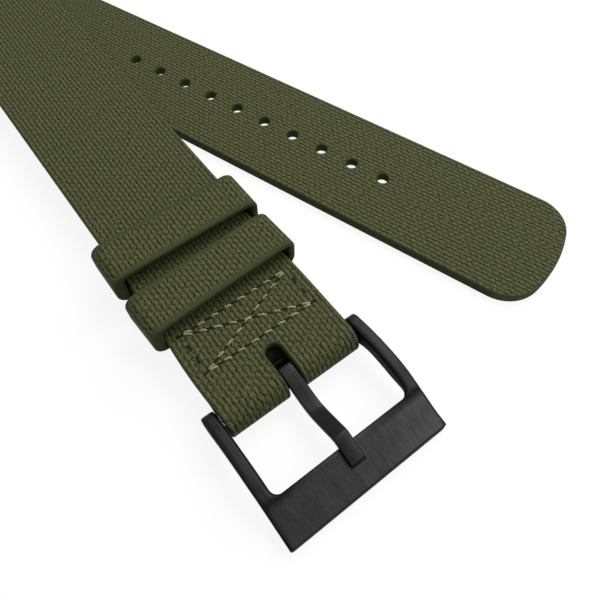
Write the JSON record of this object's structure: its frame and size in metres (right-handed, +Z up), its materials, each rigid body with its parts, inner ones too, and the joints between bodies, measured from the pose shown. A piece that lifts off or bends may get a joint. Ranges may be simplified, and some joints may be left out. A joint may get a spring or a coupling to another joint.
{
  "type": "rubber watch strap",
  "caption": "One-piece rubber watch strap folded over flat, with stitched pin buckle, spring bar, tongue, two sliding keepers and adjustment holes.",
  "frame": {"origin": "centre of the first tongue hole, on the face that the strap lies on", "axes": "+X along the buckle half towards the buckle, +Z up, square to the surface that the strap lies on"},
  "size_m": [0.1413, 0.0685, 0.0091],
  "materials": {
    "rubber": "moulded canvas texture, matte",
    "thread": "twisted polyester thread",
    "black_steel": "black coated steel, brushed",
    "bare_steel": "plain steel"
  },
  "bodies": {
    "strap": {"band": "rubber", "needle_thread": "thread", "bobbin_thread": "thread"},
    "front_keeper": {"front_keeper": "rubber"},
    "rear_keeper": {"rear_keeper": "rubber"},
    "buckle": {"buckle_frame": "black_steel", "bar_tube": "bare_steel", "bar_spring": "bare_steel"},
    "tongue": {"tongue": "black_steel"},
    "left_pin": {"left_pin": "bare_steel"},
    "right_pin": {"right_pin": "bare_steel"}
  },
  "joints": [
    {"name": "front_keeper_slide", "type": "slide", "parent": "strap", "child": "front_keeper", "axis": [1, 0, 0], "range_m": [-0.034, 0]},
    {"name": "rear_keeper_slide", "type": "slide", "parent": "front_keeper", "child": "rear_keeper", "axis": [1, 0, 0], "range_m": [-0.034, 0.0018]},
    {"name": "buckle_hinge", "type": "hinge", "parent": "strap", "child": "buckle", "pos_m": [0.07421, -0.01662, 0.00295], "axis": [0, 1, 0], "range_deg": [-40, 90]},
    {"name": "tongue_hinge", "type": "hinge", "parent": "buckle", "child": "tongue", "pos_m": [0.07421, -0.01662, 0.00295], "axis": [0, 1, 0], "range_deg": [-70, 0]},
    {"name": "left_pin_slide", "type": "slide", "parent": "buckle", "child": "left_pin", "axis": [0, 1, 0], "range_m": [0, 0.0012], "stiffness_N_per_m": 800, "springref_m": -0.002, "deforming": ["bar_spring"]},
    {"name": "right_pin_slide", "type": "slide", "parent": "buckle", "child": "right_pin", "axis": [0, -1, 0], "range_m": [0, 0.0012], "stiffness_N_per_m": 800, "springref_m": -0.002, "deforming": ["bar_spring"]}
  ]
}
